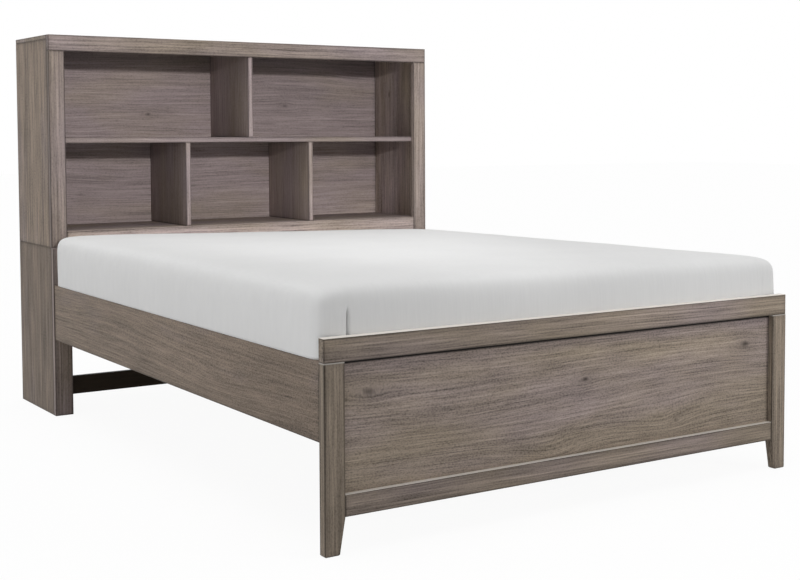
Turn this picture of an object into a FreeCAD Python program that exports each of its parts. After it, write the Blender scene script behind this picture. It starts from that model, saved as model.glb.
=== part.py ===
import FreeCAD, Part
import math
import os

# All sizes are in millimetres. X runs across the bed, Y from the foot to the head, Z up from the floor.

# Mattress, which the frame is made around, and which bulges over the rails above their top edge
mattress_width = 1524.0
mattress_length = 2032.0
mattress_height = 218.0
mattress_side_gap = 13.0
mattress_end_gap = 9.0
mattress_side_bulge = 35.0
mattress_end_bulge = 7.0
mattress_corner_radius = 35.0
mattress_edge_round = 60.0
mattress_clearance = 0.3

# Height, bulge and draw-in of the mattress at each level, as shares of the height, bulge and edge round above
mattress_level_shares = (
    (0.00, 0.00, 0.30),
    (0.02, 0.00, 0.12),
    (0.05, 0.00, 0.05),
    (0.12, 0.00, 0.00),
    (0.19, 0.15, 0.00),
    (0.205, 0.45, 0.00),
    (0.225, 0.80, 0.00),
    (0.26, 1.00, 0.00),
    (0.84, 1.00, 0.00),
    (0.89, 1.00, 0.02),
    (0.925, 1.00, 0.065),
    (0.955, 1.00, 0.15),
    (0.975, 1.00, 0.24),
    (0.99, 1.00, 0.36),
    (0.997, 1.00, 0.52),
    (1.00, 1.00, 1.20),
)

# Side rails and the ledger strips inside them
rail_height = 200.0
rail_thickness = 22.0
rail_top = 480.0
ledger_width = 28.0
ledger_height = 40.0
ledger_end_gap = 6.0

# Headboard, made of a bookcase standing on a base, a little wider than the rails
headboard_height = 1389.0
headboard_overhang = 3.0
base_height = 616.0

# Bookcase
bookcase_depth = 396.0
case_side_thickness = 20.0
case_top_thickness = 16.0
case_floor_thickness = 20.0
case_back_thickness = 6.0
shelf_thickness = 20.0
divider_thickness = 20.0
lower_cubby_height = 322.0
upper_cubby_count = 2
lower_cubby_count = 3
face_frame_thickness = 20.0
face_frame_width = 58.0

# Headboard base
base_depth = 410.0
base_side_thickness = 20.0
post_width = 65.0
post_thickness = 22.0
base_top_thickness = 20.0
base_front_rail_height = 70.0
base_back_rail_height = 80.0
base_back_rail_thickness = 20.0
headboard_panel_thickness = 15.0
headboard_panel_bottom = 290.0
stretcher_height = 66.0
stretcher_thickness = 22.0
stretcher_bottom = 71.0

# Footboard, a little wider than the rails
footboard_height = 539.0
footboard_overhang = 1.0
footboard_thickness = 28.0
foot_top_rail_height = 61.0
foot_bottom_rail_height = 56.0
foot_bottom_rail_bottom = 93.0
foot_leg_width = 57.0
foot_leg_floor_width = 41.0
foot_rail_setback = 1.0
foot_panel_recess = 16.0
foot_panel_thickness = 9.0
foot_panel_groove = 8.0

# Slats, resting on the ledgers and the centre beam
slat_count = 12
slat_width = 80.0
slat_thickness = 18.0
slat_top_below_rail = 40.0
slat_side_gap = 3.0
slat_end_margin = 40.0

# Centre beam, its legs and their levelling feet
beam_width = 32.0
beam_height = 60.0
beam_end_gap = 45.0
support_leg_count = 3
support_leg_width = 45.0
support_leg_end_distance = 330.0
tenon_diameter = 20.0
tenon_length = 25.0
foot_pad_diameter = 38.0
foot_pad_height = 8.0
foot_pad_ease = 1.5
foot_open_height = 14.0
stem_diameter = 8.0
stem_length = 45.0
stem_seat_depth = 5.0
stem_clearance = 0.3
stem_bore_spare = 18.0
insert_diameter = 12.0
insert_length = 15.0

# Hardware
bracket_thickness = 3.0
bracket_height = 80.0
bracket_rail_wing = 60.0
bracket_wing_margin = 3.0
bracket_below_ledger = 10.0
bracket_hole_edge_distance = 20.0
bolt_diameter = 8.0
bolt_head_across_flats = 13.0
bolt_head_height = 5.3
bracket_bolt_length = 21.0
case_bolt_cover = 6.0
case_bolt_inset = 60.0
screw_diameter = 4.5
screw_head_diameter = 9.0
screw_head_height = 2.6
screw_length = 35.0

# Small bevels that ease the edges of boards and the bottoms of the footboard legs
edge_ease = 1.2
leg_bottom_bevel = 3.0

# Planes along the bed, from the head end to the foot end
rail_length = mattress_length + mattress_end_gap * 2
bed_length = base_depth + rail_length + footboard_thickness
head_back = bed_length / 2
case_front = head_back - bookcase_depth
case_inside_front = case_front + face_frame_thickness
case_inside_back = head_back - case_back_thickness
base_front = head_back - base_depth
base_inside_front = base_front + post_thickness
foot_back = base_front - rail_length
foot_front = foot_back - footboard_thickness

# Half widths from the centre line
rail_inner_half = mattress_width / 2 + mattress_side_gap
rail_outer_half = rail_inner_half + rail_thickness
head_half = rail_outer_half + headboard_overhang
case_inner_half = head_half - case_side_thickness
base_inner_half = head_half - base_side_thickness
foot_half = rail_outer_half + footboard_overhang
foot_opening_half = foot_half - foot_leg_width
bracket_wing_end = foot_opening_half + bracket_wing_margin

# Heights above the floor
case_floor_top = base_height + face_frame_width
shelf_bottom = case_floor_top + lower_cubby_height
shelf_top = shelf_bottom + shelf_thickness
case_ceiling = headboard_height - case_top_thickness
slat_top = rail_top - slat_top_below_rail
slat_seat = slat_top - slat_thickness
ledger_bottom = slat_seat - ledger_height
beam_bottom = slat_seat - beam_height
support_leg_bottom = foot_pad_height + foot_open_height
foot_top_rail_bottom = footboard_height - foot_top_rail_height
foot_bottom_rail_top = foot_bottom_rail_bottom + foot_bottom_rail_height
bracket_top = ledger_bottom - bracket_below_ledger

sides = {"left": -1, "right": 1}
upward = FreeCAD.Vector(0, 0, 1)
downward = FreeCAD.Vector(0, 0, -1)
pieces = {}


def across(half_width):
    return (-half_width, half_width)


def on_side(side, inner, outer):
    return sorted((side * inner, side * outer))


def block(x, y, z):
    corner = FreeCAD.Vector(x[0], y[0], z[0])
    return Part.makeBox(x[1] - x[0], y[1] - y[0], z[1] - z[0], corner)


# A plain board, with all of its edges eased
def board(x, y, z):
    solid = block(x, y, z)
    return solid.makeChamfer(edge_ease, solid.Edges)


def rod(start, direction, diameter, length):
    return Part.makeCylinder(diameter / 2, length, start, direction)


def cut_from(name, *tools):
    pieces[name] = pieces[name].cut(list(tools)).Solids[0]


# A hex-head bolt whose head bears at the seat, with its shank running along the direction
def bolt(seat, direction, length):
    corner_radius = bolt_head_across_flats / math.sqrt(3)
    corners = []
    for turn in range(7):
        angle = math.radians(60 * turn)
        corners.append(FreeCAD.Vector(math.cos(angle), math.sin(angle), 0) * corner_radius)
    head = Part.Face(Part.makePolygon(corners)).extrude(downward * bolt_head_height)
    shank = rod(FreeCAD.Vector(0, 0, 0), upward, bolt_diameter, length)
    whole = head.fuse(shank)
    whole.Placement = FreeCAD.Placement(seat, FreeCAD.Rotation(upward, direction))
    return whole


# A countersunk wood screw, driven down until its head is flush
def screw(top):
    head = Part.makeCone(screw_head_diameter / 2, screw_diameter / 2, screw_head_height, top, downward)
    return head.fuse(rod(top, downward, screw_diameter, screw_length))


def make_bookcase():
    behind_frame = (case_inside_front, head_back)
    inside = (case_inside_front, case_inside_back)
    for word, side in sides.items():
        x = on_side(side, case_inner_half, head_half)
        pieces["bookcase_side_" + word] = board(x, behind_frame, (base_height, case_ceiling))
    pieces["bookcase_top"] = board(across(head_half), behind_frame, (case_ceiling, headboard_height))
    width = across(case_inner_half)
    pieces["bookcase_back"] = block(width, (case_inside_back, head_back), (base_height, case_ceiling))
    floor_z = (case_floor_top - case_floor_thickness, case_floor_top)
    pieces["bookcase_floor"] = board(width, inside, floor_z)
    pieces["bookcase_shelf"] = board(width, inside, (shelf_bottom, shelf_top))
    rows = {
        "upper_divider": (upper_cubby_count, (shelf_top, case_ceiling)),
        "lower_divider": (lower_cubby_count, (case_floor_top, shelf_bottom)),
    }
    for name, (count, z) in rows.items():
        clear_width = (case_inner_half * 2 - divider_thickness * (count - 1)) / count
        for place in range(1, count):
            left = -case_inner_half + clear_width * place + divider_thickness * (place - 1)
            pieces[name + "_" + str(place)] = board((left, left + divider_thickness), inside, z)


def make_face_frame():
    y = (case_front, case_inside_front)
    opening_half = head_half - face_frame_width
    top_rail_bottom = headboard_height - face_frame_width
    pieces["face_frame_top_rail"] = board(across(head_half), y, (top_rail_bottom, headboard_height))
    pieces["face_frame_bottom_rail"] = board(across(opening_half), y, (base_height, case_floor_top))
    for word, side in sides.items():
        x = on_side(side, opening_half, head_half)
        pieces["face_frame_stile_" + word] = board(x, y, (base_height, top_rail_bottom))


def make_base():
    post_y = (base_front, base_inside_front)
    post_inner_half = head_half - post_width
    base_ceiling = base_height - base_top_thickness
    for word, side in sides.items():
        post_x = on_side(side, post_inner_half, head_half)
        side_x = on_side(side, base_inner_half, head_half)
        pieces["base_post_" + word] = board(post_x, post_y, (0, base_height))
        pieces["base_side_" + word] = board(side_x, (base_inside_front, head_back), (0, base_height))
    front_rail_z = (base_height - base_front_rail_height, base_height)
    pieces["base_front_rail"] = board(across(post_inner_half), post_y, front_rail_z)
    width = across(base_inner_half)
    pieces["base_top"] = board(width, (base_inside_front, head_back), (base_ceiling, base_height))
    back_rail_y = (head_back - base_back_rail_thickness, head_back)
    back_rail_z = (base_ceiling - base_back_rail_height, base_ceiling)
    pieces["base_back_rail"] = board(width, back_rail_y, back_rail_z)
    panel_y = (base_inside_front, base_inside_front + headboard_panel_thickness)
    pieces["headboard_panel"] = board(width, panel_y, (headboard_panel_bottom, base_ceiling))
    stretcher_y = (base_inside_front, base_inside_front + stretcher_thickness)
    stretcher_z = (stretcher_bottom, stretcher_bottom + stretcher_height)
    pieces["base_stretcher"] = board(width, stretcher_y, stretcher_z)


# Bolts that rise through the top of the base into the floor of the bookcase
def make_bookcase_bolts():
    seat_height = base_height - base_top_thickness
    length = case_floor_top - case_bolt_cover - seat_height
    bolts = []
    for side in sides.values():
        for y in (case_inside_front + case_bolt_inset, head_back - case_bolt_inset):
            seat = FreeCAD.Vector(side * (case_inner_half - case_bolt_inset), y, seat_height)
            bolts.append(bolt(seat, upward, length))
    cut_from("base_top", *bolts)
    cut_from("bookcase_floor", *bolts)
    pieces["bookcase_bolts"] = Part.makeCompound(bolts)


def make_rails():
    rail_z = (rail_top - rail_height, rail_top)
    ledger_y = (foot_back + ledger_end_gap, base_front - ledger_end_gap)
    for word, side in sides.items():
        rail_x = on_side(side, rail_inner_half, rail_outer_half)
        pieces["side_rail_" + word] = board(rail_x, (foot_back, base_front), rail_z)
        ledger_x = on_side(side, rail_inner_half - ledger_width, rail_inner_half)
        pieces["ledger_" + word] = board(ledger_x, ledger_y, (ledger_bottom, slat_seat))


# A leg that tapers on its inner side below the bottom rail
def footboard_leg(side):
    outline = []
    for x, z in (
        (foot_half, 0),
        (foot_half, foot_top_rail_bottom),
        (foot_opening_half, foot_top_rail_bottom),
        (foot_opening_half, foot_bottom_rail_bottom),
        (foot_half - foot_leg_floor_width, 0),
        (foot_half, 0),
    ):
        outline.append(FreeCAD.Vector(side * x, foot_front, z))
    solid = Part.Face(Part.makePolygon(outline)).extrude(FreeCAD.Vector(0, footboard_thickness, 0))
    low = [edge for edge in solid.Edges if edge.BoundBox.ZMax < edge_ease]
    solid = solid.makeChamfer(leg_bottom_bevel, low)
    long = [edge for edge in solid.Edges if edge.BoundBox.ZLength > foot_bottom_rail_height]
    return solid.makeChamfer(edge_ease, long)


def make_footboard():
    rail_y = (foot_front + foot_rail_setback, foot_back)
    top_z = (foot_top_rail_bottom, footboard_height)
    bottom_z = (foot_bottom_rail_bottom, foot_bottom_rail_top)
    pieces["footboard_top_rail"] = board(across(foot_half), rail_y, top_z)
    pieces["footboard_bottom_rail"] = board(across(foot_opening_half), rail_y, bottom_z)
    for word, side in sides.items():
        pieces["footboard_leg_" + word] = footboard_leg(side)
    panel_front = foot_front + foot_panel_recess
    panel = block(
        across(foot_opening_half + foot_panel_groove),
        (panel_front, panel_front + foot_panel_thickness),
        (foot_bottom_rail_top - foot_panel_groove, foot_top_rail_bottom + foot_panel_groove),
    )
    for name in ("top_rail", "bottom_rail", "leg_left", "leg_right"):
        cut_from("footboard_" + name, panel)
    pieces["footboard_panel"] = panel


# An angle bracket in the inner corner between a side rail and the post or leg at its end
def make_brackets():
    brackets = []
    bolts = []
    z = (bracket_top - bracket_height, bracket_top)
    hole_heights = (z[0] + bracket_hole_edge_distance, z[1] - bracket_hole_edge_distance)
    ends = (("base_post_", base_front, -1), ("footboard_leg_", foot_back, 1))
    for word, side in sides.items():
        for post_name, face, inward in ends:
            flat_x = on_side(side, rail_inner_half - bracket_thickness, rail_inner_half)
            flat = block(flat_x, sorted((face, face + inward * bracket_rail_wing)), z)
            wing_x = on_side(side, bracket_wing_end, rail_inner_half)
            wing = block(wing_x, sorted((face, face + inward * bracket_thickness)), z)
            corner_bolts = []
            for height in hole_heights:
                rail_seat = FreeCAD.Vector(
                    side * (rail_inner_half - bracket_thickness),
                    face + inward * (bracket_rail_wing - bracket_hole_edge_distance),
                    height,
                )
                corner_bolts.append(bolt(rail_seat, FreeCAD.Vector(side, 0, 0), bracket_bolt_length))
                post_seat = FreeCAD.Vector(
                    side * (bracket_wing_end + bolt_head_across_flats),
                    face + inward * bracket_thickness,
                    height,
                )
                corner_bolts.append(bolt(post_seat, FreeCAD.Vector(0, -inward, 0), bracket_bolt_length))
            brackets.append(flat.fuse(wing).removeSplitter().cut(corner_bolts).Solids[0])
            cut_from("side_rail_" + word, *corner_bolts)
            cut_from(post_name + word, *corner_bolts)
            bolts.extend(corner_bolts)
    pieces["corner_brackets"] = Part.makeCompound(brackets)
    pieces["bracket_bolts"] = Part.makeCompound(bolts)


def make_slats():
    half_length = rail_inner_half - slat_side_gap
    first = base_front - slat_end_margin - slat_width
    pitch = (rail_length - slat_end_margin * 2 - slat_width) / (slat_count - 1)
    screws = []
    for place in range(slat_count):
        near = first - pitch * place
        name = "slat_" + str(place + 1)
        pieces[name] = board(across(half_length), (near, near + slat_width), (slat_seat, slat_top))
        middle = near + slat_width / 2
        for holder, x in (
            ("ledger_left", ledger_width / 2 - rail_inner_half),
            ("center_beam", 0),
            ("ledger_right", rail_inner_half - ledger_width / 2),
        ):
            driven = screw(FreeCAD.Vector(x, middle, slat_top))
            cut_from(name, driven)
            cut_from(holder, driven)
            screws.append(driven)
    pieces["slat_screws"] = Part.makeCompound(screws)


def make_beam():
    y = (foot_back + beam_end_gap, base_front - beam_end_gap)
    pieces["center_beam"] = board(across(beam_width / 2), y, (beam_bottom, slat_seat))


# A square leg whose round tenon stands in the beam, on a foot that screws in and out of its insert
def make_support_legs():
    first = base_front - support_leg_end_distance
    pitch = (rail_length - support_leg_end_distance * 2) / (support_leg_count - 1)
    half = support_leg_width / 2
    bore_diameter = stem_diameter + stem_clearance * 2
    stem_bottom = foot_pad_height - stem_seat_depth
    inserts = []
    for place in range(support_leg_count):
        number = str(place + 1)
        y = first - pitch * place
        tenon = rod(FreeCAD.Vector(0, y, beam_bottom), upward, tenon_diameter, tenon_length)
        leg = board(across(half), (y - half, y + half), (support_leg_bottom, beam_bottom)).fuse(tenon)
        cut_from("center_beam", tenon)
        bottom = FreeCAD.Vector(0, y, support_leg_bottom)
        bore_length = foot_pad_height + stem_length - support_leg_bottom + stem_bore_spare
        bore = rod(bottom, upward, bore_diameter, bore_length)
        sleeve = rod(bottom, upward, insert_diameter, insert_length)
        pieces["support_leg_" + number] = leg.cut([bore, sleeve]).Solids[0]
        inserts.append(sleeve.cut(bore).Solids[0])
        stem = rod(FreeCAD.Vector(0, y, stem_bottom), upward, stem_diameter, stem_length + stem_seat_depth)
        pad = rod(FreeCAD.Vector(0, y, 0), upward, foot_pad_diameter, foot_pad_height)
        rims = [edge for edge in pad.Edges if edge.isClosed()]
        pad = pad.makeChamfer(foot_pad_ease, rims)
        pieces["foot_stem_" + number] = stem
        pieces["foot_pad_" + number] = pad.cut(stem).Solids[0]
    pieces["leg_inserts"] = Part.makeCompound(inserts)


# A closed outline of four straight sides joined by quarter-circle corners
def rounded_outline(half_x, half_y, radius, z):
    ends = []
    for quarter, (side_x, side_y) in enumerate(((1, 1), (-1, 1), (-1, -1), (1, -1))):
        center = FreeCAD.Vector(side_x * (half_x - radius), side_y * (half_y - radius), z)
        points = []
        for half_turn in range(3):
            angle = math.radians(90 * quarter + 45 * half_turn)
            points.append(center + FreeCAD.Vector(math.cos(angle), math.sin(angle), 0) * radius)
        ends.append(points)
    edges = []
    for quarter, points in enumerate(ends):
        edges.append(Part.Arc(*points).toShape())
        edges.append(Part.LineSegment(points[2], ends[(quarter + 1) % 4][0]).toShape())
    return Part.Wire(edges)


def make_mattress():
    bottom = slat_top + mattress_clearance
    outlines = []
    for height_share, bulge_share, draw_share in mattress_level_shares:
        draw = mattress_edge_round * draw_share
        half_x = mattress_width / 2 + mattress_side_bulge * bulge_share - draw
        half_y = mattress_length / 2 + mattress_end_bulge * bulge_share - draw
        z = bottom + mattress_height * height_share
        outlines.append(rounded_outline(half_x, half_y, mattress_corner_radius, z))
    mattress = Part.makeLoft(outlines, True, True)
    mattress.translate(FreeCAD.Vector(0, (base_front + foot_back) / 2, 0))
    pieces["mattress"] = mattress


make_bookcase()
make_face_frame()
make_base()
make_bookcase_bolts()
make_rails()
make_footboard()
make_brackets()
make_beam()
make_slats()
make_support_legs()
make_mattress()

os.makedirs("parts", exist_ok=True)
for name, shape in pieces.items():
    shape.exportStep("parts/" + name + ".step")
print("pieces written:", len(pieces))
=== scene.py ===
import bpy
import bmesh
import math
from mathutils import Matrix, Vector, noise


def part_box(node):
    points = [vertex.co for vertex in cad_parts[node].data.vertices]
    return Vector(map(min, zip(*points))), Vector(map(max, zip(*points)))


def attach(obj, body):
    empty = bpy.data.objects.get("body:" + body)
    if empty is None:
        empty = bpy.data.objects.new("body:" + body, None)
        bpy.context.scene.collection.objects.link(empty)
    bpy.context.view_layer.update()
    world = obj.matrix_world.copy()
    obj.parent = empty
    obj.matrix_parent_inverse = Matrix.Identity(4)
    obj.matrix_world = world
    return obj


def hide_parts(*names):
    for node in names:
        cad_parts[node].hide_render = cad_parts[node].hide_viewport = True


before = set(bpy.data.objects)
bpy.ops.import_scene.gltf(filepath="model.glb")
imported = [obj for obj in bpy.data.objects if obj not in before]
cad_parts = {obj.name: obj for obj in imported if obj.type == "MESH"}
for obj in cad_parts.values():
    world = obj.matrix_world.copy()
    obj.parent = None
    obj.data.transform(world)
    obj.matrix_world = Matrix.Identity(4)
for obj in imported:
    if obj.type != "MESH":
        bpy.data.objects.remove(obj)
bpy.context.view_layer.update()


# Sockets as values, so that shader maths reads as ordinary maths

class Value:
    def __init__(self, tree, socket):
        self.tree = tree
        self.socket = socket

    def __add__(self, other):
        return self.tree.maths("ADD", self, other)

    def __sub__(self, other):
        return self.tree.maths("SUBTRACT", self, other)

    def __rsub__(self, other):
        return self.tree.maths("SUBTRACT", other, self)

    def __mul__(self, other):
        return self.tree.maths("MULTIPLY", self, other)

    def __truediv__(self, other):
        return self.tree.maths("DIVIDE", self, other)

    def __rtruediv__(self, other):
        return self.tree.maths("DIVIDE", other, self)

    def __pow__(self, other):
        return self.tree.maths("POWER", self, other)

    __radd__ = __add__
    __rmul__ = __mul__


class Tree:   # the nodes of one material, or of the world
    def __init__(self, name, kind="materials"):
        self.owner = getattr(bpy.data, kind).new(name)
        self.owner.use_nodes = True
        self.nodes = self.owner.node_tree.nodes
        self.links = self.owner.node_tree.links
        self.nodes.clear()

    # Any node: its settings come first, then its sockets
    def add(self, kind, settings=None, values=None, output=0):
        node = self.nodes.new("ShaderNode" + kind)
        for key, setting in (settings or {}).items():
            setattr(node, key, setting)
        for key, given in (values or {}).items():
            if isinstance(given, Value):
                self.links.new(given.socket, node.inputs[key])
            else:
                node.inputs[key].default_value = given
        return Value(self, node.outputs[output]) if len(node.outputs) else None

    def maths(self, operation, *values):
        return self.add("Math", {"operation": operation}, dict(enumerate(values)))

    def least(self, first, second):
        return self.maths("MINIMUM", first, second)

    def most(self, first, second):
        return self.maths("MAXIMUM", first, second)

    def limited(self, value):   # held between 0 and 1
        return self.add("Math", {"operation": "ADD", "use_clamp": True}, {0: value, 1: 0.0})

    def smooth(self, value, low, high):   # 0 below low, 1 above high, with an eased step between
        settings = {"interpolation_type": "SMOOTHSTEP"}
        return self.add("MapRange", settings, {"Value": value, "From Min": low, "From Max": high})

    def fade(self, value, low, high, start):   # the same step, from a start above 0
        return start + self.smooth(value, low, high) * (1.0 - start)

    def mixed(self, mask, first, second, how="MIX"):   # two colours
        settings = {"data_type": "RGBA", "blend_type": how}
        return self.add("Mix", settings, {0: mask, 6: first, 7: second}, 2)

    def vector(self, x, y, z):
        return self.add("CombineXYZ", None, {0: x, 1: y, 2: z})

    def scaled(self, spot, scales):
        return self.vector(*[value * scale for value, scale in zip(spot, scales)])

    def parts(self, vector):
        return [self.add("SeparateXYZ", None, {0: vector}, axis) for axis in range(3)]

    def place(self):
        return self.parts(self.add("TexCoord", output="Object"))

    def cloud(self, place, detail=2.0, roughness=0.5):   # soft noise, about 0.5 in the middle
        values = {"Vector": place, "Scale": 1.0, "Detail": detail, "Roughness": roughness}
        return self.add("TexNoise", {"noise_dimensions": "3D"}, values)

    def bump(self, height, strength, distance):
        return self.add("Bump", None, {"Strength": strength, "Distance": distance, "Height": height})

    def seenAsWhite(self):   # 1 on rays from the camera, off a mirror and through glass
        kinds = ("Is Camera Ray", "Is Glossy Ray", "Is Transmission Ray")
        camera, glossy, transmission = [self.add("LightPath", output=kind) for kind in kinds]
        return self.most(self.most(camera, glossy), transmission)

    def finish(self, shader, kind="OutputMaterial"):
        self.add(kind, None, {"Surface": shader})
        return self.owner

    def surface(self, constants, values):
        return self.finish(self.add("BsdfPrincipled", None, {**constants, **values}))


def shade(colour, amount=1.0):
    return tuple(channel * amount for channel in colour) + (1.0,)


# Camera, at the height and angle from which the bed is looked at

camera = {
    "location": (-2.3669, -4.2188, 1.0410),
    "yaw": 35.371,
    "pitch": 3.258,
    "lens": 62.565,
    "sensor": 36.0,
    "shift": (-0.13375, -0.10),
    "farthest": 200.0,
}


def makeCamera(settings):
    data = bpy.data.cameras.new("bed_camera")
    data.sensor_width = settings["sensor"]
    data.lens = settings["lens"]
    data.shift_x, data.shift_y = settings["shift"]
    data.clip_end = settings["farthest"]
    seat = bpy.data.objects.new("bed_camera", data)
    yaw, pitch = math.radians(settings["yaw"]), math.radians(settings["pitch"])
    level = math.cos(pitch)
    looking = Vector((math.sin(yaw) * level, math.cos(yaw) * level, -math.sin(pitch)))
    seat.rotation_mode = "QUATERNION"
    seat.rotation_quaternion = looking.to_track_quat("-Z", "Y")
    seat.location = settings["location"]
    bpy.context.scene.collection.objects.link(seat)
    bpy.context.scene.camera = seat


makeCamera(camera)
print("camera set")


# Studio: a pale floor, a white surround and soft lamps

studio = {
    "surround": 0.30,          # light from all round
    "white": (1.0, 1.0, 1.0),
    "floorSize": 60.0,
    "floorDrop": 0.0005,       # keeps the floor just under the bed
    "floorColour": (0.62, 0.62, 0.62),
    "whiteShare": 0.94,        # how much of the floor reads as plain white
    "sunDistance": 4.0,
    # Strength on a face turned to the lamp, direction it comes from, and spread in degrees
    "suns": {
        "above": (0.43, (-0.10, -0.06, 1.0), 50.0),
        "left": (0.250, (-1.0, 0.08, 0.20), 30.0),
        "behind": (0.14, (0.8, 1.0, 0.45), 60.0),
    },
    # Power, place, point aimed at, radius, cone in degrees and its soft edge
    "spots": {
        "bookcase": (1000.0, (-0.70, -6.15, 2.27), (0.0, 0.85, 1.18), 0.16, 18.0, 0.40),
        "foot": (180.0, (2.7, -4.3, 1.35), (0.69, -1.93, 0.0), 0.30, 42.0, 0.55),
    },
}


def makeFloor(settings):
    tree = Tree("studio_floor")
    seen = tree.seenAsWhite()
    white = shade(settings["white"])
    colour = tree.mixed(seen, shade(settings["floorColour"]), white)
    paint = tree.add("BsdfDiffuse", None, {"Color": colour})
    glow = tree.add("Emission", None, {"Color": white, "Strength": 1.0})
    finish = tree.add("MixShader", None, {0: seen * settings["whiteShare"], 1: paint, 2: glow})
    half = settings["floorSize"] / 2
    corners = [(-half, -half, 0), (half, -half, 0), (half, half, 0), (-half, half, 0)]
    mesh = bpy.data.meshes.new("floor")
    mesh.from_pydata(corners, [], [(0, 1, 2, 3)])
    mesh.materials.append(tree.finish(finish))
    ground = bpy.data.objects.new("floor", mesh)
    ground.location.z = -settings["floorDrop"]
    bpy.context.scene.collection.objects.link(ground)


def makeSurround(settings):   # white to look at, dimmer as a light
    tree = Tree("studio_surround", "worlds")
    values = {"Value": tree.seenAsWhite(), "To Min": settings["surround"], "To Max": 1.0}
    strength = tree.add("MapRange", None, values)
    light = tree.add("Background", None, {"Color": shade(settings["white"]), "Strength": strength})
    bpy.context.scene.world = tree.finish(light, "OutputWorld")


def hangLamp(data, place, backward, mirrored=True):
    lamp = bpy.data.objects.new(data.name, data)
    lamp.visible_glossy = mirrored
    lamp.rotation_mode = "QUATERNION"
    lamp.rotation_quaternion = backward.to_track_quat("Z", "Y")
    lamp.location = place
    bpy.context.scene.collection.objects.link(lamp)


def makeLamps(settings):
    for name, (level, comesFrom, spread) in settings["suns"].items():
        data = bpy.data.lights.new("lamp_" + name, "SUN")
        data.energy = level * math.pi
        data.angle = math.radians(spread)
        hangLamp(data, Vector(comesFrom) * settings["sunDistance"], Vector(comesFrom))
    for name, (power, place, target, radius, cone, edge) in settings["spots"].items():
        data = bpy.data.lights.new("lamp_" + name, "SPOT")
        data.energy = power
        data.shadow_soft_size = radius
        data.spot_size = math.radians(cone)
        data.spot_blend = edge
        hangLamp(data, Vector(place), Vector(place) - Vector(target), mirrored=False)


makeFloor(studio)
makeSurround(studio)
makeLamps(studio)
bpy.context.scene.view_settings.view_transform = "Standard"
print("studio lit")


# Weathered boards: grey-brown stained wood, with a glaze that stays darker along the edges, and with painted
# shade and painted highlights where light and shade fall

stain = {
    "umber": (0.304, 0.249, 0.196),      # the warm tone
    "russet": (0.310, 0.242, 0.189),     # the same tone on the boards that are a little redder
    "mauve": (0.304, 0.248, 0.245),      # the greyer, cooler tone
    "mauveSwing": 2.4,                   # how far patches of the wood turn from one tone to the other
    "highlight": (0.82, 0.775, 0.72),       # the pale colour of the painted highlight on the tops of the footboard's rails and legs
    "highlightEnd": (0.001, 0.0045, 0.50),  # how far down the painted highlight at an upper end is whole and partial, and how pale it is
    "apart": (3.7, 0.63),                # how far the figure moves on from board to board, along and across
    "layers": {                          # figure: noise along and across the grain, its detail and roughness
        "bend": (1.1, 3.5, 2.0, 0.5),
        "band": (0.6, 15.0, 1.0, 0.5),
        "wideLine": (1.5, 62.0, 1.0, 0.5),
        "closeLine": (1.5, 75.0, 1.0, 0.5),
        "grain": (2.2, 200.0, 1.0, 0.6),
        "stroke": (9.0, 250.0, 2.0, 0.6),
        "speck": (160.0, 280.0, 1.0, 0.5),
        "patch": (2.2, 7.0, 2.0, 0.5),
        "blotch": (7.0, 22.0, 2.0, 0.5),
    },
    "wideLined": ("solid", "side"),      # the kinds of board with wide lines
    "depths": {                          # how strongly each layer shows on each kind of board
        "bend": {"solid": 0.018, "side": 0.022, "rail": 0.022, "sheet": 0.040, "fine": 0.040},
        "band": {"solid": 0.58, "side": 0.80, "rail": 0.34, "sheet": 0.34, "fine": 0.24},
        "line": {"solid": 0.65, "side": 0.80, "rail": 0.16, "sheet": 0.28, "fine": 0.22},
        "grain": {"solid": 1.30, "side": 1.60, "rail": 0.95, "sheet": 0.90, "fine": 0.70},
        "stroke": {"solid": 1.20, "side": 1.50, "rail": 0.80, "sheet": 1.30, "fine": 0.90},
        "blotch": {"solid": 0.34, "side": 0.75, "rail": 0.42, "sheet": 0.42, "fine": 0.18},
        "speck": {"solid": 0.90, "side": 1.60, "rail": 1.80, "sheet": 1.30, "fine": 0.75},
    },
    "pores": (0.60, 0.72),               # how strong a speck opens as a pore
    "poreDepth": 0.22,
    "fadePower": 1.5,                    # how fast patches and arches fade out from their middles
    "brightest": 4.0,                    # the tone is held below this
    "upperFaces": (0.30, 0.80),          # slopes over which a face counts as an upper one
    "squareFaces": (0.5, 0.9),           # and as a front or an outer one
    "rough": (0.54, 0.20, 0.15, 0.14),   # roughness, what strokes take off it, what pores and upper faces add
    "relief": (0.6, 0.4, 0.8),           # how high grain and strokes stand, and how deep pores lie
    "bump": (0.25, 0.0008),
    "shine": {"IOR": 1.45, "Specular IOR Level": 0.15},
    "glazeAndShade": {
        "width": 0.0055,                 # the dark line along each arris
        "depth": 0.62,
        "patchy": (0.55, 0.9),           # its least strength, and what patches of the wood add
        "softWidth": 0.022,              # the faint darkening that reaches farther in
        "softDepth": 0.16,
        # On a panel in its frame: where the glaze and the painted shade of the frame start and end, and how
        # light they start
        "openingSide": (0.0, 0.005, 0.45),
        "openingTop": (0.005, 0.011, 0.02),
        "openingSoft": (0.0, 0.030, 0.93),
        "openingMauve": (0.015, 0.055, 0.7),   # the same for the share of mauve under the frame's top
        "paintedShadowTop": (0.03, 0.10),       # how far down the painted shadow under a top is wholly and partly dark
        "unglazedTop": (0.010, 0.040),      # and how far down an unglazed top is wholly and partly clear
    },
    "knot": {
        "depth": 0.80,
        "bend": 0.85,                    # how strongly the lines bend round a knot
        "bendReach": (3.2, 1.5),         # how far along and across they do, in sizes of the knot
        "core": (1.25, 0.75),            # how far its dark core reaches
        "rim": (70.0, 110.0, 3.0),       # noise along and across its ragged rim, and where it is cut
        "ragged": (0.3, 1.6),            # share of the distance that always counts, and what the noise adds
        "halo": (0.34, 0.10),            # strength of the halo, and how slowly it fades
        "fadePower": 2.0,
    },
}
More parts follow.
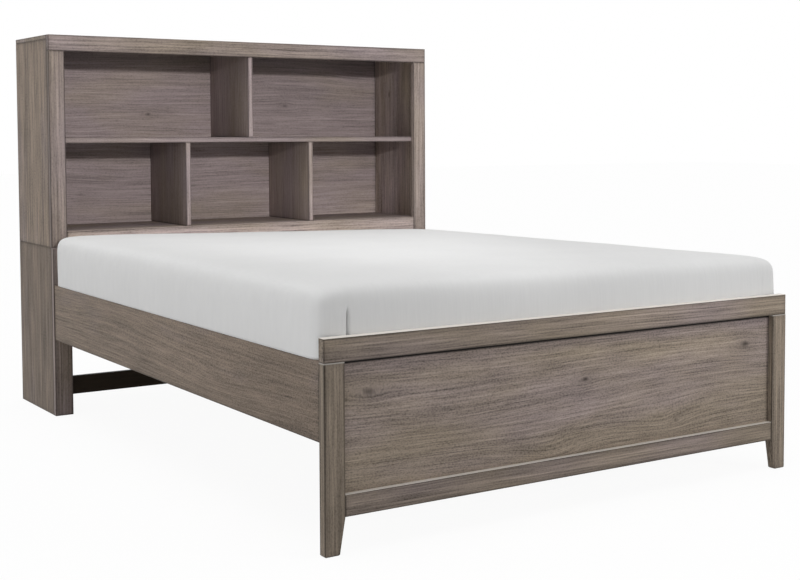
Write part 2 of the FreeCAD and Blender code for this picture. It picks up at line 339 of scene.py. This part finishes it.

# How strongly the upper faces carry the painted highlight, where they catch the light
highlightedTops = {"footboard_top_rail": 0.97, "footboard_bottom_rail": 0.62, "base_front_rail": 0.15}

# Boards with the redder tone
redderBoards = (
    "bookcase_side_left",
    "base_side_left",
    "base_side_right",
    "side_rail_left",
    "side_rail_right",
)

# Boards with a lighter front edge, and how much lighter it is
paleFronts = {
    "upper_divider_1": 0.24,
    "lower_divider_1": 0.32,
    "lower_divider_2": 0.32,
    "bookcase_shelf": 0.06,
}

# Boards whose faces inside the case keep a lighter, mauver colour as painted light in the case's shade, and
# are browner and darker outside: the axis the outside faces, mauve taken off there, and lightness left there
paintedLightInsides = {"bookcase_side_right": (0, 0.55, 0.68), "bookcase_back": (1, 0.70, 0.84)}

# Axes along the grain, across it and through the board, and the upright boards that face sideways
grainAxes = {"x": (0, 2, 1), "y": (1, 2, 0), "z": (2, 0, 1)}
sidewaysBoards = ("bookcase_side", "base_side", "upper_divider", "lower_divider")

# How each board differs: grain axis, share of mauve, lightness, and its kind of figure.
# Kinds: solid lumber, sides of the case and base, side rails, sheets, and the finer sheets in the case.
boards = {
    "bookcase_side_left": ("z", -0.05, 0.79, "side"),
    # its lightness is raised as painted light on the shaded inside of the case, and taken back down on its
    # outside
    "bookcase_side_right": ("z", 0.50, 1.24, "solid"),
    "bookcase_top": ("x", 0.30, 0.92, "solid"),
    "bookcase_back": ("x", 0.90, 1.06, "fine"),
    "bookcase_floor": ("x", 0.60, 1.02, "fine"),
    "bookcase_shelf": ("x", 0.90, 1.05, "fine"),
    "upper_divider_1": ("z", 0.80, 1.14, "fine"),
    "lower_divider_1": ("z", 0.80, 0.97, "fine"),
    "lower_divider_2": ("z", 0.80, 1.01, "fine"),
    "face_frame_top_rail": ("x", 0.60, 0.92, "solid"),
    "face_frame_bottom_rail": ("x", 0.35, 1.45, "solid"),
    "face_frame_stile_left": ("z", 0.50, 0.80, "solid"),
    "face_frame_stile_right": ("z", 0.50, 1.10, "solid"),
    "base_post_left": ("z", 0.75, 0.96, "solid"),
    "base_post_right": ("z", 0.75, 0.96, "solid"),
    "base_side_left": ("z", -0.15, 0.54, "side"),
    "base_side_right": ("z", -0.10, 0.66, "side"),
    "base_front_rail": ("x", 0.30, 0.98, "solid"),
    "base_top": ("x", 0.30, 0.98, "sheet"),
    "base_back_rail": ("x", 0.30, 0.98, "solid"),
    "headboard_panel": ("x", 0.50, 0.98, "sheet"),
    "side_rail_left": ("y", -0.20, 0.67, "rail"),
    "side_rail_right": ("y", -0.20, 0.75, "rail"),
    "footboard_top_rail": ("x", 0.20, 0.93, "solid"),
    "footboard_bottom_rail": ("x", 0.10, 0.88, "solid"),
    "footboard_leg_left": ("z", -0.20, 0.80, "solid"),
    "footboard_leg_right": ("z", 0.00, 0.99, "solid"),
    "footboard_panel": ("x", 0.25, 1.05, "sheet"),
}

# Knots: place along the grain, place across it, size, in metres, and how dark
knots = {
    "footboard_panel": (
        (-0.666, 0.394, 0.020, 0.8),
        (0.023, 0.354, 0.012, 1.0),
        (0.639, 0.397, 0.018, 0.9),
        (0.361, 0.198, 0.010, 0.4),
    ),
    "bookcase_back": (
        (-0.280, 1.109, 0.012, 0.8),
        (0.333, 1.148, 0.014, 0.6),
        (-0.560, 0.790, 0.010, 0.4),
    ),
    "bookcase_side_right": ((1.204, 1.116, 0.012, 0.8),),
}

# Where a panel shows inside its frame: glaze and painted shade gather along the sides and top of that opening
openings = {
    "footboard_panel": (
        (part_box("footboard_leg_left")[1].x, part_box("footboard_leg_right")[0].x),
        (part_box("footboard_bottom_rail")[1].z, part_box("footboard_top_rail")[0].z),
    ),
}

# Panels with a painted shadow along the top, where the case's top shades them, its height and how dark it is
paintedShadowTops = {"bookcase_back": (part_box("bookcase_back")[1].z, 0.34)}

# Boards with a painted highlight along the upper end, where the joint catches the light, and its height
highlightedEnds = {name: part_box(name)[1].z for name in ("footboard_leg_left", "footboard_leg_right")}

# Boards whose upper arris is left without glaze, and its height
unglazedTops = {name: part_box(name)[1].z for name in ("side_rail_left", "side_rail_right")}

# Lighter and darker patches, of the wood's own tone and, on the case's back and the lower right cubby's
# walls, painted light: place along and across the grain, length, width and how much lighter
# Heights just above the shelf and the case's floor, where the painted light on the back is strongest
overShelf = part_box("bookcase_shelf")[1].z + 0.025
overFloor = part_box("bookcase_floor")[1].z + 0.025
toneAndLightPatches = {
    "footboard_top_rail": (
        (0.26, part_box("footboard_top_rail")[1].z - 0.020, 0.38, 0.040, 0.26),
        (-0.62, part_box("footboard_top_rail")[1].z - 0.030, 0.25, 0.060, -0.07),
    ),
    "bookcase_back": (
        # painted light: the back is brighter just above the shelf and the case's floor
        (0.10, overShelf, 1.20, 0.060, 0.19),
        (0.66, overFloor, 0.42, 0.070, 0.40),
        (0.33, 1.200, 0.35, 0.120, -0.15),
        (-0.52, 1.210, 0.40, 0.150, 0.08),
        (-0.52, 0.880, 0.28, 0.120, -0.10),
    ),
    # painted light on the walls of the lower right cubby, near its back
    "bookcase_side_right": ((0.780, 1.080, 0.16, 0.40, 0.24),),
    "lower_divider_2": ((0.780, 1.080, 0.16, 0.40, 0.24),),
    "side_rail_left": (
        (-1.05, 0.370, 0.35, 0.300, -0.10),
        (-0.40, 0.430, 0.60, 0.090, 0.09),
    ),
    "footboard_panel": (
        (0.42, 0.420, 0.45, 0.040, 0.20),
        (0.62, 0.240, 0.30, 0.080, -0.10),
        (-0.35, 0.240, 0.40, 0.090, -0.08),
    ),
}

# Arched figure: place along and across the grain, length, width and height of each arch
arches = {
    "footboard_panel": (
        (-0.10, 0.160, 0.16, 0.050, 0.036),
        (0.31, 0.200, 0.16, 0.050, 0.030),
        (-0.42, 0.300, 0.40, 0.080, 0.022),
        (0.52, 0.290, 0.40, 0.080, -0.020),
    ),
    "side_rail_left": (
        (-0.60, 0.340, 0.35, 0.060, 0.028),
        (0.30, 0.420, 0.45, 0.060, -0.026),
    ),
    "bookcase_back": (
        (-0.40, 0.850, 0.30, 0.070, 0.028),
        (0.30, 1.250, 0.35, 0.080, -0.028),
    ),
}


class Board(Tree):   # the nodes of one stained board
    def __init__(self, node, number):
        super().__init__("weathered_" + node)
        self.node, self.spot = node, self.place()
        axis, self.mauveShare, self.lightness, self.kind = boards[node]
        along, across, through = grainAxes[axis]
        if node.startswith(sidewaysBoards):
            across, through = 1, 0
        self.along, self.across, self.w = self.spot[along], self.spot[across], self.spot[through]
        farther, higher = stain["apart"]
        self.u = self.along + number * farther
        straight = self.across + number * higher
        self.v = straight + self.swing("bend", self.layer("bend", straight))
        self.patch = self.layer("patch", self.v)
        self.facing = self.parts(self.add("NewGeometry", output="Normal"))
        self.upward = self.smooth(self.facing[2], *stain["upperFaces"])

    def layer(self, name, v):   # noise drawn out along the grain
        lengthwise, crosswise, detail, roughness = stain["layers"][name]
        place = self.vector(self.u * lengthwise, v * crosswise, self.w * crosswise)
        return self.cloud(place, detail, roughness)

    def swing(self, name, layer):   # a layer about its middle, as strong as this kind of board shows it
        return (layer - 0.5) * stain["depths"][name][self.kind]

    def away(self, place, height, length, width):   # squared distance from a place, in lengths and widths
        du = (self.along - place) / length
        dv = (self.across - height) / width
        return du * du + dv * dv

    def mound(self, place, height, length, width, amount):   # an amount that fades out from its place
        return amount / ((1.0 + self.away(place, height, length, width)) ** stain["fadePower"])

    def lines(self):   # how the lines rise over arches and bend round knots, and how dark the knots are
        rise, darkest, form = self.v, None, stain["knot"]
        for arch in arches.get(self.node, ()):
            rise = rise + self.mound(*arch)
        power = form["fadePower"]
        alongRim, acrossRim, cut = form["rim"]
        nearest, ragged = form["ragged"]
        haloDepth, haloFade = form["halo"]
        for place, height, size, depth in knots.get(self.node, ()):
            length, width = [reach * size for reach in form["bendReach"]]
            bent = 1.0 / ((1.0 + self.away(place, height, length, width)) ** power)
            rise = rise - (self.across - height) * bent * form["bend"]
            rim = self.cloud(self.vector(self.along * alongRim, self.across * acrossRim, cut))
            length, width = [reach * size for reach in form["core"]]
            around = self.away(place, height, length, width) * (nearest + rim * ragged)
            core = depth / ((1.0 + around) ** power)
            halo = depth * haloDepth / ((1.0 + around * haloFade) ** power)
            dark = self.most(core, halo)
            darkest = dark if darkest is None else self.most(darkest, dark)
        return rise, darkest

    def arris(self):   # how far a point of a face is from the nearest arris
        low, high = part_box(self.node)
        near = [self.least(value - low[axis], high[axis] - value) for axis, value in enumerate(self.spot)]
        nearer, farther = self.least(near[0], near[1]), self.most(near[0], near[1])
        return self.most(nearer, self.least(farther, near[2]))

    def glazedAndShaded(self):   # 1 where the wood is clear of glaze and painted shade
        arris, glazeAndShade = self.arris(), stain["glazeAndShade"]
        strength, added = glazeAndShade["patchy"]
        edge = (1.0 - self.smooth(arris, 0.0, glazeAndShade["width"])) * (strength + self.patch * added)
        clear = 1.0 - self.limited(edge) * glazeAndShade["depth"]
        clear = clear * self.fade(arris, 0.0, glazeAndShade["softWidth"], 1.0 - glazeAndShade["softDepth"])
        # glaze and painted shade along the frame's sides and under its top rail
        if self.node in openings:
            (left, right), (_, top) = openings[self.node]
            beside, below = self.least(self.spot[0] - left, right - self.spot[0]), top - self.spot[2]
            clear = clear * self.fade(beside, *glazeAndShade["openingSide"]) * self.fade(below, *glazeAndShade["openingTop"])
            clear = clear * self.fade(self.least(beside, below), *glazeAndShade["openingSoft"])
        # painted shadow under the case's top
        if self.node in paintedShadowTops:
            top, depth = paintedShadowTops[self.node]
            clear = clear * self.fade(top - self.spot[2], *glazeAndShade["paintedShadowTop"], 1.0 - depth)
        if self.node in unglazedTops:
            unglazed = 1.0 - self.smooth(unglazedTops[self.node] - self.spot[2], *glazeAndShade["unglazedTop"])
            clear = clear + (1.0 - clear) * unglazed
        return clear

    def tone(self, layers, pore, darkest):   # how light the stain is
        tone = 1.0
        for name, layer in layers.items():
            tone = tone + self.swing(name, layer)
        tone = tone * (1.0 - pore * stain["poreDepth"])
        # the wood's own lighter and darker patches, and patches of painted light
        for patch in toneAndLightPatches.get(self.node, ()):
            tone = tone * (1.0 + self.mound(*patch))
        if darkest is not None:
            tone = tone * (1.0 - darkest * stain["knot"]["depth"])
        # glaze and painted shade; the upper faces are left without them, so that they read lighter as a
        # painted highlight
        tone = tone * (1.0 - (1.0 - self.glazedAndShaded()) * (1.0 - self.upward))
        if self.node in paleFronts:
            front = self.smooth(-1.0 * self.facing[1], *stain["squareFaces"])
            tone = tone * (1.0 + front * paleFronts[self.node])
        # painted light: the faces inside the case stay lighter and mauver than the outside faces
        if self.node in paintedLightInsides:
            axis, lessMauve, lightness = paintedLightInsides[self.node]
            outside = self.smooth(self.facing[axis], *stain["squareFaces"])
            tone = tone * (1.0 - outside * (1.0 - lightness))
            self.mauveShare = self.mauveShare - outside * lessMauve
        return self.limited(tone * (1.0 / stain["brightest"])) * stain["brightest"]

    def colour(self, tone):
        share = self.mauveShare
        if self.node in openings:
            low, high, underTop = stain["glazeAndShade"]["openingMauve"]
            below = openings[self.node][1][1] - self.spot[2]
            share = underTop - self.smooth(below, low, high) * (underTop - share)
        mauve = self.limited((self.patch - 0.5) * stain["mauveSwing"] + share)
        warm = stain["russet"] if self.node in redderBoards else stain["umber"]
        colour = self.mixed(mauve, shade(warm, self.lightness), shade(stain["mauve"], self.lightness))
        colour = self.mixed(1.0, colour, self.vector(tone, tone, tone), "MULTIPLY")
        # painted highlight on the upper faces, where they catch the light
        if self.node in highlightedTops:
            colour = self.mixed(self.upward * highlightedTops[self.node], colour, shade(stain["highlight"]))
        # painted highlight along the upper end of the leg
        if self.node in highlightedEnds:
            low, high, paleness = stain["highlightEnd"]
            highlit = 1.0 - self.smooth(highlightedEnds[self.node] - self.spot[2], low, high)
            colour = self.mixed(highlit * paleness, colour, shade(stain["highlight"]))
        return colour

    def stained(self):
        rise, darkest = self.lines()
        layers = {
            "band": self.layer("band", self.v),
            "line": self.layer("wideLine" if self.kind in stain["wideLined"] else "closeLine", rise),
            "grain": self.layer("grain", rise),
            "stroke": self.layer("stroke", rise),
            "blotch": self.layer("blotch", self.v),
            "speck": self.layer("speck", rise),
        }
        pore = self.smooth(layers["speck"], *stain["pores"])
        colour = self.colour(self.tone(layers, pore, darkest))
        plain, strokeLoss, poreGain, topGain = stain["rough"]
        rough = plain - (layers["stroke"] - 0.5) * strokeLoss + pore * poreGain + self.upward * topGain
        grainHeight, strokeHeight, poreDepth = stain["relief"]
        height = layers["grain"] * grainHeight + layers["stroke"] * strokeHeight - pore * poreDepth
        bump = self.bump(height, *stain["bump"])
        return self.surface(stain["shine"], {"Base Color": colour, "Roughness": rough, "Normal": bump})


def dress(node, material):
    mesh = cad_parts[node].data
    mesh.materials.clear()
    mesh.materials.append(material)


for number, node in enumerate(boards):
    dress(node, Board(node, number).stained())
print("boards stained:", len(boards))


# Plain pine of the slats, ledgers, beam and its legs

pine = {
    "light": (0.62, 0.45, 0.28),
    "dark": (0.44, 0.28, 0.15),
    "bend": (1.5, 5.0, 0.03),      # noise along and across the grain, and how far it bends the lines
    "line": (0.8, 70.0),           # noise along and across the grain
    "hair": (9.0, 500.0),
    "lineEdges": (0.40, 0.66),
    "shares": (0.75, 0.5),         # what lines and hairs add to the dark tone
    "rough": (0.58, 0.12),
    "bump": (0.2, 0.0006),
    "gloss": 0.30,
}


def pineFinish(axis, settings):
    tree = Tree("plain_pine_" + axis)
    spot = tree.place()
    along, across, through = {"x": (0, 1, 2), "y": (1, 0, 2), "z": (2, 0, 1)}[axis]

    def streaks(v, lengthwise, crosswise):
        return tree.cloud(tree.vector(spot[along] * lengthwise, v * crosswise, spot[through] * crosswise))

    lengthwise, crosswise, amount = settings["bend"]
    v = spot[across] + (streaks(spot[across], lengthwise, crosswise) - 0.5) * amount
    line = streaks(v, *settings["line"])
    hair = streaks(v, *settings["hair"])
    lineShare, hairShare = settings["shares"]
    mask = tree.limited(tree.smooth(line, *settings["lineEdges"]) * lineShare + (hair - 0.5) * hairShare)
    colour = tree.mixed(mask, shade(settings["light"]), shade(settings["dark"]))
    plain, added = settings["rough"]
    bump = tree.bump(hair + line, *settings["bump"])
    values = {"Base Color": colour, "Roughness": plain + mask * added, "Normal": bump}
    return tree.surface({"Specular IOR Level": settings["gloss"]}, values)


pineAlong = {axis: pineFinish(axis, pine) for axis in "xyz"}
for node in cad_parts:
    if node.startswith("slat_") and node != "slat_screws":
        dress(node, pineAlong["x"])
    if node in ("center_beam", "ledger_left", "ledger_right"):
        dress(node, pineAlong["y"])
    if node.startswith("support_leg"):
        dress(node, pineAlong["z"])
print("pine finished")


# Black paint, metal and nylon: two tones, how closely their noise is set along each axis, roughness and gloss

hardware = {
    "black_paint": {
        "low": (0.0205, 0.0145, 0.0100),
        "high": (0.0430, 0.0325, 0.0230),
        "stretch": (3.0, 90.0, 90.0),
        "metallic": 0.0,
        "rough": (0.55, 0.70),
        "gloss": 0.10,
    },
    "zinc_steel": {
        "low": (0.42, 0.42, 0.43),
        "high": (0.66, 0.66, 0.67),
        "stretch": (60.0, 60.0, 60.0),
        "metallic": 1.0,
        "rough": (0.30, 0.46),
        "gloss": 0.50,
    },
    "insert_brass": {
        "low": (0.48, 0.34, 0.13),
        "high": (0.66, 0.50, 0.22),
        "stretch": (80.0, 80.0, 80.0),
        "metallic": 1.0,
        "rough": (0.28, 0.42),
        "gloss": 0.50,
    },
    "foot_nylon": {
        "low": (0.015, 0.015, 0.015),
        "high": (0.030, 0.030, 0.030),
        "stretch": (200.0, 200.0, 200.0),
        "metallic": 0.0,
        "rough": (0.50, 0.68),
        "gloss": 0.25,
    },
}
hardwareNoise = {"detail": 4.0, "roughness": 0.6, "bump": (0.12, 0.0004)}
zincPieces = ("bookcase_bolts", "bracket_bolts", "corner_brackets", "slat_screws")


def plainFinish(name, settings):
    tree = Tree(name)
    stretched = tree.scaled(tree.place(), settings["stretch"])
    patch = tree.cloud(stretched, hardwareNoise["detail"], hardwareNoise["roughness"])
    colour = tree.mixed(patch, shade(settings["low"]), shade(settings["high"]))
    low, high = settings["rough"]
    bump = tree.bump(patch, *hardwareNoise["bump"])
    values = {"Base Color": colour, "Roughness": low + patch * (high - low), "Normal": bump}
    return tree.surface({"Metallic": settings["metallic"], "Specular IOR Level": settings["gloss"]}, values)


hardwareFinish = {name: plainFinish(name, settings) for name, settings in hardware.items()}
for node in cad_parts:
    if node == "base_stretcher":
        dress(node, hardwareFinish["black_paint"])
    if node in zincPieces or node.startswith("foot_stem"):
        dress(node, hardwareFinish["zinc_steel"])
    if node == "leg_inserts":
        dress(node, hardwareFinish["insert_brass"])
    if node.startswith("foot_pad"):
        dress(node, hardwareFinish["foot_nylon"])
print("hardware finished")


# Mattress: a crowned pad in a smooth white cover, with a fold at each corner of its ends

mattress = {
    "step": 0.018,              # spacing of the mesh before it is inflated
    "halfWidth": 0.796,
    "halfLength": 1.021,
    "cornerRadius": 0.034,
    "edgeInset": 0.036,         # how far the rounding of the upper edge reaches in, and down
    "edgeDrop": 0.034,
    "lowInset": 0.020,          # and that of the lower edge
    "lowDrop": 0.022,
    "top": 0.663,
    "crown": 0.002,             # how much higher the middle is, and how far in from the edge it rises
    "crownReach": 0.25,
    "droop": (0.010, 0.039),    # how much lower the top lies on the right, at the foot and at the head
    "flare": 0.006,             # how far the right side spreads just above the rail
    "flareWidth": (0.9, 1.0),   # shares of the width over which it starts
    "flareLip": 0.05,           # share of the height above the rail at which it starts to fade
    "flareTop": 0.9,            # and at which it is gone
    "railTop": 0.480,
    "betweenRails": 0.766,      # half its width below the top of the rails
    "railGap": 0.001,           # what rests on the rails stays this far above them
    "tuck": 0.012,              # and comes from no farther down than this
    "cloth": {                  # how the cover gives way as it fills out
        "vertex_group_mass": "resting",
        "quality": 5,
        "mass": 0.3,
        "use_pressure": True,
        "uniform_pressure_force": 0.06,
        "tension_stiffness": 15.0,
        "compression_stiffness": 15.0,
        "bending_stiffness": 0.5,
    },
    "frames": 20,
    "resting": 0.012,           # what lies this low is held still
    "farthest": 0.008,          # no point moves farther
    "ripples": {
        # Noise along each axis, the place it starts at, and its height
        "hollow": ((3.1, 2.3, 0.0), 4.0, 0.0018),
        "ripple": ((14.0, 11.0, 9.0), 7.0, 0.0006),
        "fadeUp": (0.25, 0.6),             # shares of the height over which they start
    },
    "folds": {
        "place": {-1: 0.716, 1: 0.722},    # left and right, from the mattress's middle
        "depth": {-1: 0.020, 1: 0.001},
        "width": 0.0023,
        "cuts": (-2.2, -1.0, 0.0, 1.0, 2.2),   # where the mesh is cut finer, in widths of the fold
        "cutNear": 0.03,                   # faces this near to a fold are cut, from this far out to the ends
        "cutFrom": 0.85,
        "moveNear": 0.05,                  # points this near are moved, from this far out to the ends
        "moveFrom": 0.90,
        "fadeIn": (0.96, 1.0),             # how far out the fold starts, and where it is whole
        "fadeUp": (0.66, 0.76),            # shares of the height over which it ends
        "ridge": (0.012, 0.010, 0.18),     # the ridge beside it: distance, width and share of the depth
    },
}

roundest = 0.9       # the largest share of a ring's half size that its corner may take
leastSize = 1e-6     # keeps the innermost ring open
leastLength = 1e-9   # a shorter direction is none


def eased(value, low, high):
    share = min(max((value - low) / (high - low), 0.0), 1.0)
    return share * share * (3.0 - 2.0 * share)


def latticeShell(half, step):   # the skin of a box, in near-square cells
    counts = [max(2, round(2 * size / step)) for size in half]
    points, index, faces = [], {}, []

    def corner(i, j, k):
        if (i, j, k) not in index:
            index[(i, j, k)] = len(points)
            points.append([half[n] * (2.0 * c / counts[n] - 1.0) for n, c in enumerate((i, j, k))])
        return index[(i, j, k)]

    def cell(*corners):
        faces.append([corner(*place) for place in corners])

    nx, ny, nz = counts
    for i in range(nx):
        for j in range(ny):
            cell((i, j, nz), (i + 1, j, nz), (i + 1, j + 1, nz), (i, j + 1, nz))
            cell((i, j, 0), (i, j + 1, 0), (i + 1, j + 1, 0), (i + 1, j, 0))
    for i in range(nx):
        for k in range(nz):
            cell((i, 0, k), (i + 1, 0, k), (i + 1, 0, k + 1), (i, 0, k + 1))
            cell((i, ny, k), (i, ny, k + 1), (i + 1, ny, k + 1), (i + 1, ny, k))
    for j in range(ny):
        for k in range(nz):
            cell((0, j, k), (0, j, k + 1), (0, j + 1, k + 1), (0, j + 1, k))
            cell((nx, j, k), (nx, j + 1, k), (nx, j + 1, k + 1), (nx, j, k + 1))
    return points, faces


def turned(inset, depth, wide, tall):   # rounds off the arris between a flat face and an upright one
    if inset >= wide or depth >= tall:
        return inset, depth
    out = Vector(((wide - inset) / wide, (tall - depth) / tall)).normalized()
    return wide * (1.0 - out.x), tall * (1.0 - out.y)


# Moves a point from a ring of one rectangle to a ring of a rounded one
def ringPoint(x, y, halfX, halfY, newX, newY, radius):
    radius = min(radius, newX * roundest, newY * roundest)
    x, y = x * newX / halfX, y * newY / halfY
    inner = Vector((min(max(x, radius - newX), newX - radius), min(max(y, radius - newY), newY - radius)))
    out = Vector((x, y)) - inner
    return inner + out.normalized() * radius if out.length > leastLength else Vector((x, y))


def makeMattress(settings):
    low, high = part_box("mattress")
    center = (low + high) / 2
    tall = settings["top"] - low.z
    halfX, halfY = settings["halfWidth"], settings["halfLength"]
    lipShare = (settings["railTop"] - low.z) / tall
    flareEnds = (lipShare + settings["flareLip"], settings["flareTop"])
    footDrop, headDrop = settings["droop"]
    points, faces = latticeShell(Vector((halfX, halfY, tall / 2)), settings["step"])
    shaped = []
    for x, y, z in points:
        inset = min(halfX - abs(x), halfY - abs(y))
        upper = z > 0
        depth = tall / 2 - abs(z)
        if upper:
            newInset, newDepth = turned(inset, depth, settings["edgeInset"], settings["edgeDrop"])
        else:
            newInset, newDepth = turned(inset, depth, settings["lowInset"], settings["lowDrop"])
        share = 1.0 - newDepth / tall if upper else newDepth / tall
        sizes = [max(size - cut, leastSize) for cut in (inset, newInset) for size in (halfX, halfY)]
        ring = ringPoint(x, y, *sizes, settings["cornerRadius"] + newInset)
        height = share * tall
        rise = eased(share, lipShare, 1.0)
        height -= settings["crown"] * (1.0 - eased(newInset, 0.0, settings["crownReach"])) * rise
        right, head = ring.x / halfX / 2 + 0.5, ring.y / halfY / 2 + 0.5
        height -= rise * right * (headDrop * head + footDrop * right * (1.0 - head))
        ring.x += settings["flare"] * eased(right, *settings["flareWidth"]) * (1.0 - eased(share, *flareEnds))
        shaped.append((center.x + ring.x, center.y + ring.y, low.z + height))
    mesh = bpy.data.meshes.new("mattress_pad")
    mesh.from_pydata(shaped, [], faces)
    mesh.update()
    pad = bpy.data.objects.new("mattress_pad", mesh)
    bpy.context.scene.collection.objects.link(pad)
    return pad


def inflate(pad, settings):   # the cover fills out under a little pressure, and is held to a small move
    start = [vertex.co.copy() for vertex in pad.data.vertices]
    base = min(spot.z for spot in start)
    resting = pad.vertex_groups.new(name=settings["cloth"]["vertex_group_mass"])
    low = [index for index, spot in enumerate(start) if spot.z < base + settings["resting"]]
    resting.add(low, 1.0, "REPLACE")
    modifier = pad.modifiers.new("cover", "CLOTH")
    for key, setting in settings["cloth"].items():
        setattr(modifier.settings, key, setting)
    modifier.settings.effector_weights.gravity = 0.0
    scene = bpy.context.scene
    scene.frame_start, scene.frame_end = 1, settings["frames"]
    for number in range(1, settings["frames"] + 1):
        scene.frame_set(number)
    ready = pad.evaluated_get(bpy.context.evaluated_depsgraph_get())
    moved = [vertex.co.copy() for vertex in ready.data.vertices]
    pad.modifiers.remove(modifier)
    scene.frame_set(1)
    low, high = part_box("mattress")
    farthest, held = 0.0, []
    for before, after in zip(start, moved):
        step = after - before
        farthest = max(farthest, step.length)
        step *= settings["farthest"] / math.hypot(settings["farthest"], step.length)
        held.extend((before.x + step.x, before.y + step.y, max(before.z + step.z, low.z)))
    pad.data.vertices.foreach_set("co", held)
    pad.data.update()
    print("cover inflated, farthest move", round(farthest, 4))


def relax(pad):
    shell = bmesh.new()
    shell.from_mesh(pad.data)
    axes = {"use_axis_x": True, "use_axis_y": True, "use_axis_z": True}
    bmesh.ops.smooth_vert(shell, verts=shell.verts, factor=0.5, **axes)
    shell.to_mesh(pad.data)
    shell.free()


def subdivide(pad):
    modifier = pad.modifiers.new("finer", "SUBSURF")
    modifier.levels = modifier.render_levels = 1
    ready = pad.evaluated_get(bpy.context.evaluated_depsgraph_get())
    finer = bpy.data.meshes.new_from_object(ready)
    pad.modifiers.remove(modifier)
    pad.data = finer


def softenCover(pad, settings):   # faint hollows and ripples of a cover that isn't stretched tight
    low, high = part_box("mattress")
    outward = [vertex.normal.copy() for vertex in pad.data.vertices]
    moved = []
    for vertex, normal in zip(pad.data.vertices, outward):
        spot, move = vertex.co, 0.0
        for kind in ("hollow", "ripple"):
            scales, start, height = settings[kind]
            x, y, z = [value * scale for value, scale in zip(spot, scales)]
            move += noise.noise(Vector((x, y, z + start))) * height
        share = (spot.z - low.z) / (high.z - low.z)
        moved.extend(spot + normal * (move * eased(share, *settings["fadeUp"])))
    pad.data.vertices.foreach_set("co", moved)
    pad.data.update()


def makeFolds(pad, settings):   # the cover is folded in at each corner of the two ends
    low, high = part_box("mattress")
    middle = (low.y + high.y) / 2
    width = settings["width"]
    shell = bmesh.new()
    shell.from_mesh(pad.data)
    for side, distance in settings["place"].items():
        for cut in settings["cuts"]:
            place = side * distance + cut * width
            parts = set()
            for face in shell.faces:
                spot = face.calc_center_median()
                if abs(spot.x - place) < settings["cutNear"] and abs(spot.y - middle) > settings["cutFrom"]:
                    parts.update((face, *face.edges, *face.verts))
            bmesh.ops.bisect_plane(shell, geom=list(parts), plane_co=(place, 0, 0), plane_no=(1, 0, 0))
    shell.normal_update()
    away, spread, raised = settings["ridge"]
    moves = []
    for vertex in shell.verts:
        side = -1 if vertex.co.x < 0 else 1
        gap = abs(vertex.co.x) - settings["place"][side]
        reach = abs(vertex.co.y - middle)
        if abs(gap) > settings["moveNear"] or reach < settings["moveFrom"]:
            continue
        depth = settings["depth"][side]
        tallShare = (vertex.co.z - low.z) / (high.z - low.z)
        strength = (1.0 - eased(tallShare, *settings["fadeUp"])) * eased(reach, *settings["fadeIn"])
        valley = math.exp(-(gap / width) ** 2) * depth
        ridge = math.exp(-((gap - away) / spread) ** 2) * depth * raised
        moves.append((vertex, vertex.normal * strength * (ridge - valley)))
    for vertex, move in moves:
        vertex.co += move
    shell.to_mesh(pad.data)
    shell.free()


def restOnRails(pad, settings):   # what spreads past the space between the rails stays above them
    low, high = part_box("mattress")
    middle = (low.x + high.x) / 2
    limit, top, gap = settings["betweenRails"], settings["railTop"], settings["railGap"]
    spots = []
    for vertex in pad.data.vertices:
        spot = vertex.co.copy()
        if abs(spot.x - middle) > limit and spot.z < top + gap:
            if top - spot.z < settings["tuck"]:
                spot.z = top + gap
            else:
                spot.x = middle + math.copysign(limit, spot.x - middle)
        spots.extend(spot)
    pad.data.vertices.foreach_set("co", spots)
    pad.data.update()


cover = {
    "white": (0.817, 0.817, 0.814),
    "shadow": (0.756, 0.756, 0.754),
    "patch": (5.0, 5.0, 2.0),          # noise across, along and up the pad
    "patchDetail": 3.0,
    "slub": (180.0, 40.0, 12.0),
    "shares": (0.8, 0.9, 0.38),        # what patches and slubs add to the darker tone, and its plain share
    "thread": 1800.0,                  # how closely the threads are set
    "lean": 0.5,                       # how far the threads' lines shift up the sides
    "relief": (0.15, 0.5),             # how high weave and slubs stand
    "bump": (0.15, 0.0008),
    "rough": (0.82, 0.1),
    "shine": {"Specular IOR Level": 0.15, "Sheen Weight": 0.05, "Sheen Roughness": 0.5},
}


def coverFinish(settings):
    tree = Tree("mattress_cover")
    x, y, z = spot = tree.place()
    patch = tree.cloud(tree.scaled(spot, settings["patch"]), settings["patchDetail"])
    slub = tree.cloud(tree.scaled(spot, settings["slub"]))
    warp = tree.maths("SINE", (x + z * settings["lean"]) * settings["thread"])
    weft = tree.maths("SINE", (y + z * settings["lean"]) * settings["thread"])
    patchShare, slubShare, plainShare = settings["shares"]
    mask = tree.limited((patch - 0.5) * patchShare + (slub - 0.5) * slubShare + plainShare)
    colour = tree.mixed(mask, shade(settings["white"]), shade(settings["shadow"]))
    weaveHeight, slubHeight = settings["relief"]
    bump = tree.bump(warp * weft * weaveHeight + slub * slubHeight, *settings["bump"])
    plain, added = settings["rough"]
    values = {"Base Color": colour, "Roughness": plain + patch * added, "Normal": bump}
    return tree.surface(settings["shine"], values)


pad = makeMattress(mattress)
inflate(pad, mattress)
relax(pad)
subdivide(pad)
softenCover(pad, mattress["ripples"])
makeFolds(pad, mattress["folds"])
restOnRails(pad, mattress)
for face in pad.data.polygons:
    face.use_smooth = True
pad.data.materials.append(coverFinish(cover))
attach(pad, "mattress")
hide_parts("mattress")
print("mattress made:", len(pad.data.polygons), "faces")
